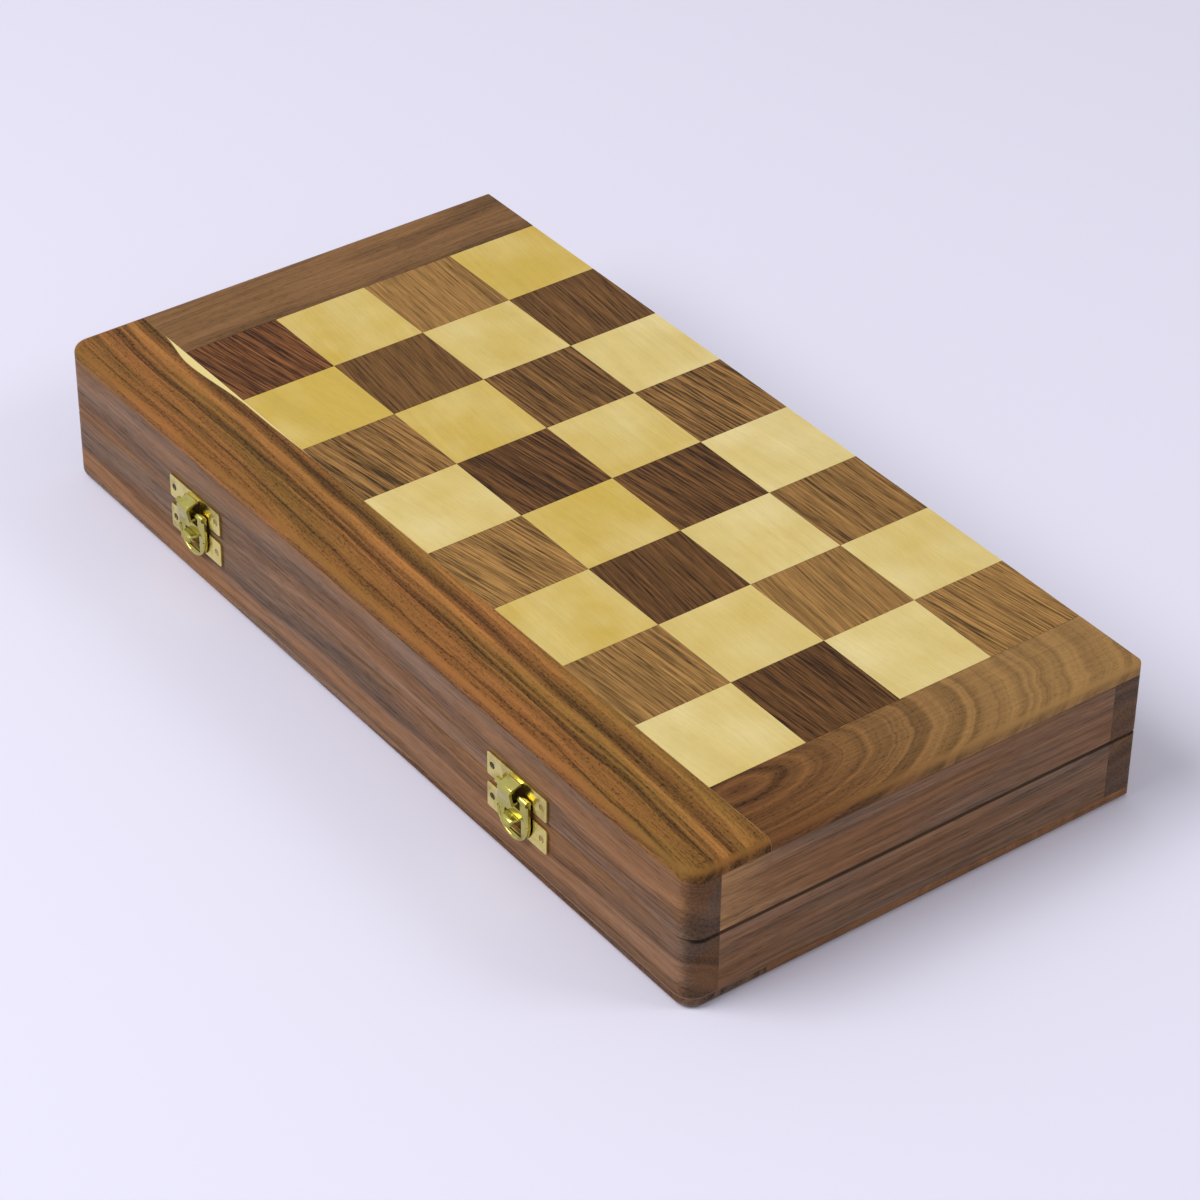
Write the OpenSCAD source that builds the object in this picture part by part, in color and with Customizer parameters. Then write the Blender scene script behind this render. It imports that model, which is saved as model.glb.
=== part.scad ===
// Folding wooden chess box. Two shallow trays are hinged along one long edge,
// their outer faces make the playing board, and brass hasps hold them shut.
// Origin at the centre of the resting face, X along the length, front at -Y.

/* [Board] */
// Side of one playing square
square_side = 32; // [24:1:45]
// Width of the border along both ends and the front
border_w = 26; // [18:0.5:40]
// Glue line between neighbouring squares and strips
glue_line = 0.1; // [0.05:0.05:0.3]
// Radius of the rolled outer edge of the border
edge_r = 2.5; // [1:0.1:3]

/* [Trays] */
// Height of one half of the box
half_h = 23; // [20:0.5:40]
// Thickness of the solid wood walls
wall_t = 10; // [9.5:0.5:14]
// Thickness of the squares and border strips
face_t = 4; // [3:0.5:6]
// Thickness of the plywood panel that backs the squares
panel_t = 3; // [2:0.5:5]
// Gap between the closed halves
seam_gap = 0.3; // [0.2:0.05:0.8]
// Radius of the upright corners at the front
front_corner_r = 6; // [3:0.5:8]
// Radius of the upright corners at the hinged edge
back_corner_r = 2; // [1:0.5:4]
// Bevel on the outer edge of each rim
rim_bevel = 0.5; // [0.2:0.1:0.6]
// Bevel of the fine groove between border and wall
groove_bevel = 0.3; // [0.1:0.1:0.6]

/* [Lining] */
// Thickness of the felt on the tray floor
felt_t = 1; // [0.5:0.1:2]
// Thickness of the foam ribs between the slots
rib_t = 6; // [4:0.5:9]
// Thickness of the foam rail between the two rows
rail_t = 8; // [5:0.5:12]
// Length of the slots for the tall chessmen
tall_slot_l = 75; // [60:1:78]
// Depth of the foam top below the rim
foam_drop = 1.5; // [1:0.5:4]

/* [Hinges] */
// Distance from the middle of the box to each hinge
hinge_x = 95; // [60:1:120]
// Length of one hinge
hinge_l = 30; // [24:1:40]
// Width of a leaf, measured from the pin's axis
leaf_w = 8.4; // [7.5:0.1:9]
// Thickness of a leaf
leaf_t = 1; // [0.8:0.1:1.5]
// Diameter of the knuckles
knuckle_d = 3.6; // [3:0.1:4]
// Number of knuckles on one hinge
knuckle_count = 5; // [3:2:7]
// Diameter of the hinge pin
hinge_pin_d = 1.6; // [1:0.1:2]
// Distance of the pin's axis behind the back wall
hinge_proud = 0.2; // [0.1:0.1:0.5]
// Shank diameter of the hinge screws
screw_d = 2.2; // [1.6:0.1:2.6]
// Head diameter of the hinge screws
screw_head_d = 4; // [3.4:0.1:4.4]
// Length of a screw below its leaf
screw_l = 8; // [5:0.5:12]
// Distance between neighbouring screws
screw_pitch = 10; // [7:0.5:12]

/* [Catches] */
// Place of the left catch along the front
left_catch_x = -81.5; // [-120:0.5:-40]
// Place of the right catch along the front
right_catch_x = 80; // [40:0.5:120]
// Width of the catch plates
plate_w = 27; // [24:0.5:32]
// Height of the lid's catch plate
upper_plate_h = 7.6; // [7.2:0.1:9]
// Height of the base's catch plate
lower_plate_h = 8.2; // [8:0.1:10]
// Distance of the lid's plate from the middle of the seam
upper_gap = 0.9; // [0.7:0.1:1.5]
// Distance of the base's plate from the middle of the seam
lower_gap = 1.7; // [0.7:0.1:2]
// Thickness of the sheet brass
sheet_t = 0.8; // [0.6:0.1:0.9]
// Distance of the catch pins from the ends of the plate
catch_pin_inset = 2.3; // [1.9:0.1:3]
// Diameter of the catch pins
catch_pin_d = 1.4; // [1:0.1:1.6]
// Head diameter of the catch pins
catch_head_d = 2.1; // [2:0.1:2.8]
// Length of the catch pins in the wall
catch_pin_l = 7; // [4:0.5:8]
// Diameter of the hasp's rolled bar
bar_d = 2; // [1.4:0.1:2]
// Height of the bar's axis over the middle of the seam
bar_z = 3.5; // [3.4:0.1:4]
// Distance of the bar's axis from the wall
bar_out = 2.1; // [2:0.1:2.4]
// Width of the bridge that holds the bar
bridge_w = 5.4; // [4:0.1:6]
// Distance of the bridge's outer bend from the wall
bridge_out = 5.3; // [5:0.1:5.6]
// Width of the hasp
hasp_w = 14; // [12:0.5:16]
// Depth of the hasp's lowest point below the middle of the seam
hasp_drop = 11.8; // [11.5:0.1:15]
// Width of the tongue where it leaves the plate
tongue_w = 6.2; // [4:0.1:6.6]
// Width of the tongue at its tip
tongue_tip_w = 3.6; // [2:0.1:4]
// Distance of the tongue's tip from the wall
tongue_out = 4.9; // [4.4:0.1:5.6]
// Radius of the tongue's outer bend
tongue_r = 1.6; // [1.2:0.1:2]
// Depth of the tongue's top below the middle of the seam
tongue_drop = 4.1; // [4:0.1:4.6]

/* [Hidden] */
$fn = 64;

files = 8;
ranks = 4;
body_l = files * square_side + 2 * border_w;
body_w = ranks * square_side + border_w;
inner_l = body_l - 2 * wall_t;
inner_w = body_w - 2 * wall_t;
total_h = 2 * half_h + seam_gap;
seam_z = total_h / 2;
over = 1;

rolled_r = min(edge_r, face_t - groove_bevel - 0.2);

floor_z = face_t + panel_t;
foam_z = floor_z + felt_t;
foam_h = half_h - foam_drop - foam_z;
slot_pitch = inner_l / files;

knuckle_play = 0.4;
knuckle_step = hinge_l / knuckle_count;
knuckle_end_gap = 0.1;
pin_play = 0.05;
pin_show = 0.3;
fit_play = 0.1;
screw_play = 0.05;
screw_y = 0.55 * leaf_w;
screw_point_l = 1.5;
screw_slot_w = 0.6;
screw_slot_depth = 0.45;
hinge_y = body_w / 2 + hinge_proud;

plate_corner_r = 0.8;
plate_rail_h = 0.9;
catch_pin_x = plate_w / 2 - catch_pin_inset;
upper_pin_z = upper_gap + upper_plate_h / 2;
lower_pin_z = lower_gap + lower_plate_h / 2;
catch_head_h = 0.5;
catch_head_sink = 0.1;
catch_play = 0.05;
bridge_side_gap = 0.5;
bridge_high_z = upper_gap + upper_plate_h - plate_rail_h;
bridge_low_z = upper_gap + plate_rail_h;
bridge_sag = 0.2;
bridge_shoulder = [1.5, bridge_high_z - sheet_t / 2];
bridge_bend_start = bridge_shoulder + [2.7, -1];
bridge_bend_end = [bridge_out - sheet_t / 2, bridge_bend_start[1] - 0.9];
bridge_foot = [bridge_out - 0.8 - sheet_t / 2, bridge_low_z - bridge_sag];
bridge_path = [
    [0, bridge_shoulder[1]], bridge_shoulder, bridge_bend_start, bridge_bend_end, bridge_foot,
    [-bridge_foot[0] / 4, bridge_low_z + bridge_sag / 4]
];
bridge_reach = max([for (i = [1 : len(bridge_path) - 2]) norm(bridge_path[i] - [bar_out, bar_z])]) + sheet_t / 2;
band_play = 0.3;
band_z = bar_z - bridge_reach - band_play;
hasp_round_z = hasp_w / 2 - hasp_drop;
hasp_back = bar_out - sheet_t;
lip_r = 0.45;
window_play = 0.7;
window_gap = 0.3;
window_rail_h = 2;
window_w = tongue_w + 2 * window_play;
window_top_z = window_gap - tongue_drop;
window_h = hasp_drop - window_rail_h + window_top_z;
window_r = 0.6;
tongue_tip_l = 0.4;
tongue_bend_out = tongue_out - tongue_r;
tongue_bend_z = -tongue_drop - tongue_r;
tongue_tip_z = tongue_bend_z - tongue_tip_l;
tongue_hole_play = 0.3;
tongue_hole_w = tongue_w + 2 * tongue_hole_play;
tongue_hole_low_z = plate_rail_h - lower_gap - lower_plate_h;

// Two-dimensional sections, x from the inner side to the outer face, y upwards

module wall_section(depth) {
    polygon([
        [0, face_t], [depth - groove_bevel, face_t], [depth, face_t + groove_bevel],
        [depth, half_h - rim_bevel], [depth - rim_bevel, half_h], [0, half_h]
    ]);
}

module border_section(depth) {
    difference() {
        polygon([
            [0, 0], [depth, 0], [depth, face_t - groove_bevel], [depth - groove_bevel, face_t], [0, face_t]
        ]);
        difference() {
            translate([depth - rolled_r, -over]) square([rolled_r + over, rolled_r + over]);
            translate([depth - rolled_r, rolled_r]) circle(rolled_r);
        }
    }
}

module section(kind, depth) {
    if (kind == "wall") wall_section(depth);
    else border_section(depth);
}

// A strip along the whole front whose outer edge runs round both corners

module long_strip(kind, width, corner_r) {
    translate([body_l / 2 - corner_r, width - body_w / 2, 0])
        rotate([90, 0, -90]) linear_extrude(body_l - 2 * corner_r) section(kind, width);
    for (side = [0, 1]) mirror([side, 0, 0]) {
        translate([body_l / 2 - corner_r, corner_r - body_w / 2, 0])
            rotate([0, 0, -90]) rotate_extrude(angle = 90) section(kind, corner_r);
        translate([body_l / 2 - corner_r, width - body_w / 2, 0])
            rotate([90, 0, 0]) linear_extrude(width - corner_r) section(kind, corner_r);
    }
}

// A strip across the right-hand end, from y_low to y_high

module end_strip(kind, width, y_low, y_high) {
    translate([body_l / 2 - width, y_high, 0])
        rotate([90, 0, 0]) linear_extrude(y_high - y_low) section(kind, width);
}

// One half of the box, with its outer face at z = 0 and its rim at z = half_h

module front_wall(pin_z) {
    difference() {
        long_strip("wall", wall_t, front_corner_r);
        for (x = [left_catch_x, right_catch_x], side = [-1, 1])
            translate([x + side * catch_pin_x, -body_w / 2, seam_z - pin_z])
                rotate([-90, 0, 0]) translate([0, 0, -over])
                    cylinder(d = catch_pin_d + 2 * catch_play, h = catch_pin_l + 2 * over);
    }
}

module back_wall() {
    difference() {
        mirror([0, 1, 0]) long_strip("wall", wall_t, back_corner_r);
        for (x = [-hinge_x, hinge_x]) translate([x, hinge_y, seam_z]) hinge_housing();
    }
}

module end_wall() {
    end_strip("wall", wall_t, wall_t - body_w / 2, body_w / 2 - wall_t);
}

module panel() {
    translate([-inner_l / 2, -inner_w / 2, face_t]) cube([inner_l, inner_w, panel_t]);
}

module front_border() {
    long_strip("border", border_w - glue_line / 2, front_corner_r);
}

module end_border() {
    difference() {
        end_strip("border", border_w - glue_line / 2,
            border_w + glue_line / 2 - body_w / 2, body_w / 2);
        translate([body_l / 2 - back_corner_r, body_w / 2 - back_corner_r, 0])
            difference() {
                translate([0, 0, -over]) cube([back_corner_r + over, back_corner_r + over, face_t + 2 * over]);
                translate([0, 0, -2 * over]) cylinder(r = back_corner_r, h = face_t + 4 * over);
            }
    }
}

module squares(parity) {
    for (i = [0 : files - 1], j = [0 : ranks - 1])
        if ((i + j) % 2 == parity)
            translate([
                (i - files / 2) * square_side + glue_line / 2,
                body_w / 2 - (j + 1) * square_side + glue_line / 2, 0
            ]) cube([square_side - glue_line, square_side - glue_line, face_t]);
}

module felt() {
    translate([-inner_l / 2, -inner_w / 2, floor_z]) cube([inner_l, inner_w, felt_t]);
}

module foam_rail() {
    translate([-inner_l / 2, tall_slot_l - inner_w / 2, foam_z]) cube([inner_l, rail_t, foam_h]);
}

module foam_ribs() {
    short_slot_y = tall_slot_l + rail_t - inner_w / 2;
    for (i = [1 : files - 1]) translate([i * slot_pitch - inner_l / 2 - rib_t / 2, 0, foam_z]) {
        translate([0, -inner_w / 2, 0]) cube([rib_t, tall_slot_l, foam_h]);
        translate([0, short_slot_y, 0]) cube([rib_t, inner_w / 2 - short_slot_y, foam_h]);
    }
}

// Hinges, with the origin on the pin's axis at the middle of the hinge

module screw_places() {
    for (i = [-1, 0, 1]) translate([i * screw_pitch, -screw_y, -seam_gap / 2]) children();
}

module screw_hole() {
    cylinder(d = screw_head_d + 2 * screw_play, h = over);
    translate([0, 0, -leaf_t])
        cylinder(d1 = screw_d + 2 * screw_play, d2 = screw_head_d + 2 * screw_play, h = leaf_t);
    translate([0, 0, -leaf_t - screw_l - screw_point_l - fit_play])
        cylinder(d = screw_d + 2 * screw_play, h = screw_l + screw_point_l + fit_play + leaf_t / 2);
}

module screw() {
    difference() {
        union() {
            translate([0, 0, -leaf_t]) cylinder(d1 = screw_d, d2 = screw_head_d, h = leaf_t);
            translate([0, 0, -leaf_t - screw_l]) cylinder(d = screw_d, h = screw_l);
            translate([0, 0, -leaf_t - screw_l - screw_point_l])
                cylinder(d1 = screw_d / 4, d2 = screw_d, h = screw_point_l);
        }
        translate([-screw_head_d, -screw_slot_w / 2, -screw_slot_depth])
            cube([2 * screw_head_d, screw_slot_w, over]);
    }
}

module hinge_housing() {
    notch_l = hinge_l + 2 * (pin_show + fit_play);
    translate([-notch_l / 2, 0, 0]) rotate([0, 90, 0])
        cylinder(d = knuckle_d + 2 * knuckle_play, h = notch_l);
    translate([-hinge_l / 2 - fit_play, -leaf_w - fit_play, -seam_gap / 2 - leaf_t])
        cube([hinge_l + 2 * fit_play, leaf_w + fit_play, leaf_t + over]);
    screw_places() screw_hole();
}

module knuckles(owner, diameter, gap) {
    for (k = [0 : knuckle_count - 1])
        if (k % 2 == owner)
            translate([k * knuckle_step - hinge_l / 2 + gap, 0, 0]) rotate([0, 90, 0])
                cylinder(d = diameter, h = knuckle_step - 2 * gap);
}

module hinge_leaf(owner) {
    difference() {
        union() {
            translate([-hinge_l / 2, -leaf_w, -seam_gap / 2 - leaf_t]) cube([hinge_l, leaf_w, leaf_t]);
            knuckles(owner, knuckle_d, knuckle_end_gap);
        }
        knuckles(1 - owner, knuckle_d + 2 * knuckle_play, -knuckle_end_gap);
        translate([-hinge_l, 0, 0]) rotate([0, 90, 0])
            cylinder(d = hinge_pin_d + 2 * pin_play, h = 2 * hinge_l);
        screw_places() screw_hole();
    }
}

module hinge_pin() {
    translate([-hinge_l / 2 - pin_show, 0, 0]) rotate([0, 90, 0])
        cylinder(d = hinge_pin_d, h = hinge_l + 2 * pin_show);
}

// Catches, with the origin on the front wall at the middle of the seam and -Y outwards

module sheet(out, thickness) {
    translate([0, -out, 0]) rotate([90, 0, 0]) linear_extrude(thickness) children();
}

module across(width) {
    translate([width / 2, 0, 0]) rotate([90, 0, -90]) linear_extrude(width) children();
}

module rounded_plate(width, height, r) {
    translate([-width / 2 + r, 0]) square([width - 2 * r, height]);
    translate([-width / 2, r]) square([width, height - 2 * r]);
    for (x = [-1, 1], y = [r, height - r])
        translate([x * (width / 2 - r), y]) circle(r);
}

module pin_holes(pin_z) {
    for (side = [-1, 1]) translate([side * catch_pin_x, 0, pin_z]) rotate([90, 0, 0]) {
        translate([0, 0, -over]) cylinder(d = catch_pin_d + 2 * catch_play, h = sheet_t + 2 * over);
        translate([0, 0, sheet_t - catch_head_h - catch_head_sink])
            cylinder(d = catch_head_d + 2 * catch_play, h = catch_head_h + over);
    }
}

module catch_pins(pin_z) {
    for (side = [-1, 1]) translate([side * catch_pin_x, 0, pin_z]) rotate([90, 0, 0]) {
        translate([0, 0, sheet_t - catch_head_h - catch_head_sink])
            cylinder(d = catch_head_d, h = catch_head_h);
        translate([0, 0, -catch_pin_l]) cylinder(d = catch_pin_d, h = catch_pin_l + sheet_t / 2);
    }
}

module bent_strip(from, to) {
    side = (to - from) / norm(to - from) * sheet_t / 2;
    left_hand = [-side[1], side[0]];
    polygon([from + left_hand, to + left_hand, to - left_hand, from - left_hand]);
}

module bridge_section() {
    bends = len(bridge_path) - 1;
    intersection() {
        union() {
            for (i = [1 : bends]) bent_strip(bridge_path[i - 1], bridge_path[i]);
            for (i = [1 : bends - 1]) translate(bridge_path[i]) circle(sheet_t / 2);
        }
        square([bridge_out + over, bridge_high_z + sheet_t]);
    }
}

module hasp_plate() {
    difference() {
        union() {
            difference() {
                sheet(0, sheet_t) translate([0, upper_gap])
                    rounded_plate(plate_w, upper_plate_h, plate_corner_r);
                translate([-bridge_w / 2 - bridge_side_gap, -sheet_t - over, bridge_low_z])
                    cube([bridge_w + 2 * bridge_side_gap, sheet_t + 2 * over, bridge_high_z - bridge_low_z]);
            }
            across(bridge_w) bridge_section();
        }
        pin_holes(upper_pin_z);
    }
}

module hasp_outline() {
    difference() {
        union() {
            translate([-hasp_w / 2, hasp_round_z]) square([hasp_w, bar_z - hasp_round_z]);
            translate([0, hasp_round_z]) circle(d = hasp_w);
        }
        translate([-bridge_w / 2 - bridge_side_gap, band_z])
            square([bridge_w + 2 * bridge_side_gap, bar_z - band_z + over]);
        translate([0, window_top_z - window_h]) rounded_plate(window_w, window_h, window_r);
    }
}

module hasp() {
    sheet(hasp_back, sheet_t) hasp_outline();
    translate([-hasp_w / 2, -bar_out, bar_z]) rotate([0, 90, 0]) cylinder(d = bar_d, h = hasp_w);
    translate([0, -bar_out, hasp_round_z]) rotate([90, 0, 0]) rotate([0, 0, 180])
        rotate_extrude(angle = 180) translate([hasp_w / 2 - lip_r, 0]) circle(lip_r);
}

module tongue_section() {
    difference() {
        union() {
            translate([tongue_bend_out, tongue_bend_z]) circle(tongue_r);
            translate([0, -tongue_drop - sheet_t]) square([tongue_bend_out, sheet_t]);
        }
        translate([tongue_bend_out, tongue_bend_z]) circle(tongue_r - sheet_t);
        translate([-over, tongue_bend_z - 2 * tongue_r])
            square([tongue_bend_out + over, 3 * tongue_r - sheet_t]);
        translate([0, tongue_tip_z - 2 * tongue_r]) square([tongue_out + over, 2 * tongue_r]);
    }
}

module keeper_plate() {
    difference() {
        union() {
            difference() {
                sheet(0, sheet_t) translate([0, -lower_gap - lower_plate_h])
                    rounded_plate(plate_w, lower_plate_h, plate_corner_r);
                translate([-tongue_hole_w / 2, -sheet_t - over, tongue_hole_low_z])
                    cube([tongue_hole_w, sheet_t + 2 * over, -tongue_drop - sheet_t - tongue_hole_low_z]);
            }
            intersection() {
                across(tongue_w) tongue_section();
                translate([0, 0, -hasp_drop]) linear_extrude(hasp_drop) polygon([
                    [-tongue_w / 2, 0], [tongue_w / 2, 0],
                    [tongue_w / 2, -sheet_t], [tongue_tip_w / 2, -tongue_out],
                    [-tongue_tip_w / 2, -tongue_out], [-tongue_w / 2, -sheet_t]
                ]);
            }
        }
        pin_holes(-lower_pin_z);
    }
}

// Places of the pieces in the closed box

module in_lid() {
    translate([0, 0, total_h]) mirror([0, 0, 1]) children();
}

module left() {
    mirror([1, 0, 0]) children();
}

module at_hinge(x) {
    translate([x, hinge_y, seam_z]) children();
}

module at_catch(x) {
    translate([x, -body_w / 2, seam_z]) children();
}

module rosewood() {
    color([0.47, 0.33, 0.22]) children();
}

module walnut_strip() {
    color([0.58, 0.38, 0.22]) children();
}

module pale_wood() {
    color([0.87, 0.78, 0.53]) children();
}

module dark_wood() {
    color([0.45, 0.31, 0.20]) children();
}

module birch_ply() {
    color([0.80, 0.68, 0.48]) children();
}

module green_felt() {
    color([0.10, 0.27, 0.18]) children();
}

module brass() {
    color([0.78, 0.70, 0.36]) children();
}

module base_front_wall() { rosewood() front_wall(lower_pin_z); }
module base_back_wall() { rosewood() back_wall(); }
module base_left_wall() { rosewood() left() end_wall(); }
module base_right_wall() { rosewood() end_wall(); }
module base_panel() { birch_ply() panel(); }
module base_front_border() { walnut_strip() front_border(); }
module base_left_border() { walnut_strip() left() end_border(); }
module base_right_border() { walnut_strip() end_border(); }
module base_light_squares() { pale_wood() squares(1); }
module base_dark_squares() { dark_wood() squares(0); }
module base_felt() { green_felt() felt(); }
module base_foam_rail() { green_felt() foam_rail(); }
module base_foam_ribs() { green_felt() foam_ribs(); }

module lid_front_wall() { rosewood() in_lid() front_wall(upper_pin_z); }
module lid_back_wall() { rosewood() in_lid() back_wall(); }
module lid_left_wall() { rosewood() in_lid() left() end_wall(); }
module lid_right_wall() { rosewood() in_lid() end_wall(); }
module lid_panel() { birch_ply() in_lid() panel(); }
module lid_front_border() { walnut_strip() in_lid() front_border(); }
module lid_left_border() { walnut_strip() in_lid() left() end_border(); }
module lid_right_border() { walnut_strip() in_lid() end_border(); }
module lid_light_squares() { pale_wood() in_lid() squares(0); }
module lid_dark_squares() { dark_wood() in_lid() squares(1); }
module lid_felt() { green_felt() in_lid() felt(); }
module lid_foam_rail() { green_felt() in_lid() foam_rail(); }
module lid_foam_ribs() { green_felt() in_lid() foam_ribs(); }

module left_hinge_base_leaf() { brass() at_hinge(-hinge_x) hinge_leaf(0); }
module left_hinge_lid_leaf() { brass() at_hinge(-hinge_x) mirror([0, 0, 1]) hinge_leaf(1); }
module left_hinge_pin() { brass() at_hinge(-hinge_x) hinge_pin(); }
module right_hinge_base_leaf() { brass() at_hinge(hinge_x) hinge_leaf(0); }
module right_hinge_lid_leaf() { brass() at_hinge(hinge_x) mirror([0, 0, 1]) hinge_leaf(1); }
module right_hinge_pin() { brass() at_hinge(hinge_x) hinge_pin(); }
module base_hinge_screws() {
    brass() for (x = [-hinge_x, hinge_x]) at_hinge(x) screw_places() screw();
}
module lid_hinge_screws() {
    brass() for (x = [-hinge_x, hinge_x]) at_hinge(x) mirror([0, 0, 1]) screw_places() screw();
}

module left_hasp_plate() { brass() at_catch(left_catch_x) hasp_plate(); }
module left_hasp() { brass() at_catch(left_catch_x) hasp(); }
module left_keeper_plate() { brass() at_catch(left_catch_x) keeper_plate(); }
module right_hasp_plate() { brass() at_catch(right_catch_x) hasp_plate(); }
module right_hasp() { brass() at_catch(right_catch_x) hasp(); }
module right_keeper_plate() { brass() at_catch(right_catch_x) keeper_plate(); }
module lid_catch_pins() {
    brass() for (x = [left_catch_x, right_catch_x]) at_catch(x) catch_pins(upper_pin_z);
}
module base_catch_pins() {
    brass() for (x = [left_catch_x, right_catch_x]) at_catch(x) catch_pins(-lower_pin_z);
}

base_front_wall();
base_back_wall();
base_left_wall();
base_right_wall();
base_panel();
base_front_border();
base_left_border();
base_right_border();
base_light_squares();
base_dark_squares();
base_felt();
base_foam_rail();
base_foam_ribs();
lid_front_wall();
lid_back_wall();
lid_left_wall();
lid_right_wall();
lid_panel();
lid_front_border();
lid_left_border();
lid_right_border();
lid_light_squares();
lid_dark_squares();
lid_felt();
lid_foam_rail();
lid_foam_ribs();
left_hinge_base_leaf();
left_hinge_lid_leaf();
left_hinge_pin();
right_hinge_base_leaf();
right_hinge_lid_leaf();
right_hinge_pin();
base_hinge_screws();
lid_hinge_screws();
left_hasp_plate();
left_hasp();
left_keeper_plate();
right_hasp_plate();
right_hasp();
right_keeper_plate();
lid_catch_pins();
base_catch_pins();
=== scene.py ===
"""Dresses the folding chess box: wood figure, brass fittings, lining and a plain studio."""
import math

import bpy
from mathutils import Matrix, Vector


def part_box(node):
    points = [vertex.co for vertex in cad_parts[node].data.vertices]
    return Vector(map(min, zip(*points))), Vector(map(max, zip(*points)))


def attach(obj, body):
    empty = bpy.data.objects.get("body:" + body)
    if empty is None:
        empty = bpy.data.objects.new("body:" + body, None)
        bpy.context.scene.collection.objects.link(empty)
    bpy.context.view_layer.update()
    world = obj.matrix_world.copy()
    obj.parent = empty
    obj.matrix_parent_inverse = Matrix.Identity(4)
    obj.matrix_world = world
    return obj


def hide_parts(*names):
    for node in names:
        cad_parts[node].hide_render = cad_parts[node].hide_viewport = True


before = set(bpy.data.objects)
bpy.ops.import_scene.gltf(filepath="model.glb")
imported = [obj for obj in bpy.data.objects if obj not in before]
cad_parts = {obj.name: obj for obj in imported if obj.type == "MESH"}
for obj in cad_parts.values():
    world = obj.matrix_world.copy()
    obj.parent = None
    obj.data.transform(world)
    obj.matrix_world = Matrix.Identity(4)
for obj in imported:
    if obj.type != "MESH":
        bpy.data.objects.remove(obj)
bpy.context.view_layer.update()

bl_info = {
    "name": "Folding Chess Box",
    "version": (1, 0, 0),
    "blender": (4, 5, 0),
    "location": "3D View > Sidebar > Chess Box",
    "description": "Finishes, lining, brass fittings and studio of a folding chess box",
    "category": "Object",
}

MM_PER_M = 1000
HALVES = ("base", "lid")
SIDES = ("left", "right")
FILES, RANKS = 8, 4
GLUE_LINE = 0.0001
FELT_PLAY = 0.0006                 # a felt is this much shorter and narrower than its tray
FOAM_STEP = 0.004                  # length of covered foam between two cross cuts
NAIL_ROUNDING, HINGE_ROUNDING = 0.0002, 0.00012
SEED_SHIFT = (91.7, 37.3, 53.9)    # how far a plank's figure moves for each unit of its seed, in millimetres
SEED_SQUARES = {"base": (3.0, 5.0), "lid": (7.0, 11.0)}    # pale squares, dark squares
BOARD_LOW, BOARD_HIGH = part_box("base_light_squares")
SQUARE = (BOARD_HIGH.x - BOARD_LOW.x + GLUE_LINE) / FILES
HINGE_EDGE = BOARD_HIGH.y + GLUE_LINE / 2
SEAM = (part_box("base_front_wall")[1].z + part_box("lid_front_wall")[0].z) / 2


def srgb(red, green, blue):
    """A linear colour from the 0 to 255 values that a screen shows."""
    return tuple(c / 12.92 if c <= 0.04045 else ((c + 0.055) / 1.055) ** 2.4
                 for c in (red / 255, green / 255, blue / 255))


def rgba(colour):
    return (*colour, 1.0)


def colour_property(name, description, default):
    return bpy.props.FloatVectorProperty(
        name=name, description=description, subtype="COLOR", size=3, min=0.0, max=1.0, default=default)


def length_property(name, description, default, low, high):
    return bpy.props.FloatProperty(
        name=name, description=description, subtype="DISTANCE", unit="LENGTH",
        default=default, min=low, max=high, precision=5)


def share_property(name, description, default):
    return bpy.props.FloatProperty(
        name=name, description=description, subtype="FACTOR", default=default, min=0.0, max=1.0)


class ChessBoxWood(bpy.types.PropertyGroup):
    """Colours and gloss of the woods."""
    cream: colour_property("Cream", "Palest of the pale squares", srgb(224, 206, 149))
    straw: colour_property("Straw", "Yellowest of the pale squares", srgb(200, 170, 82))
    tan: colour_property("Tan", "Lightest of the dark squares", srgb(150, 112, 63))
    umber: colour_property("Umber", "Darkest of the dark squares", srgb(90, 59, 31))
    rust: colour_property("Rust", "Reddish square in the front left corner", srgb(104, 58, 32))
    long_border: colour_property("Long Border", "Border strip along the front", srgb(138, 90, 46))
    long_gold: colour_property("Long Border Streaks", "Olive streaks of the same strip", srgb(122, 87, 40))
    left_border: colour_property("Left Border", "Border strip at the left end", srgb(119, 86, 54))
    right_gold: colour_property("Right Border", "Golden back of the right end strip", srgb(145, 110, 66))
    right_heart: colour_property("Right Border Heartwood", "Dark front of the same strip", srgb(102, 66, 35))
    sapwood: colour_property("Sapwood", "Pale sliver in the long border", srgb(226, 206, 140))
    wall: colour_property("Walls", "Solid walls of both trays", srgb(128, 91, 61))
    wall_grey: colour_property("Wall Streaks", "Greyish streaks of the walls", srgb(116, 92, 75))
    wall_tan: colour_property("Pale Corner", "Front corner of the lid's right wall", srgb(152, 114, 76))
    ply: colour_property("Plywood", "Panel behind the squares", srgb(205, 180, 140))
    roughness: share_property("Roughness", "Roughness of the satin finish", 0.5)
    shine: share_property("Shine", "Specular level of the satin finish", 0.08)


class ChessBoxBrass(bpy.types.PropertyGroup):
    """Colours and edges of the brass fittings."""
    bright: colour_property("Bright Brass", "Stamped catches", srgb(228, 213, 130))
    mellow: colour_property("Mellow Brass", "Hinges", srgb(198, 178, 96))
    dull: colour_property("Dull Brass", "Nails and screws", srgb(176, 154, 92))
    tarnish: colour_property("Tarnish", "Tarnish in the hollows", srgb(138, 120, 48))
    edge: length_property("Edge Radius", "Radius of the stamped edges", 0.00018, 0.00005, 0.0003)


class ChessBoxLining(bpy.types.PropertyGroup):
    """Felt and covered foam inside the trays."""
    felt: colour_property("Felt", "Felt on the tray floors", srgb(34, 84, 60))
    cover: colour_property("Foam Cover", "Cloth over the foam", srgb(40, 94, 68))
    rounding: length_property("Rounding", "Radius of the covered foam's top edges", 0.0022, 0.0005, 0.0028)


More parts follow.
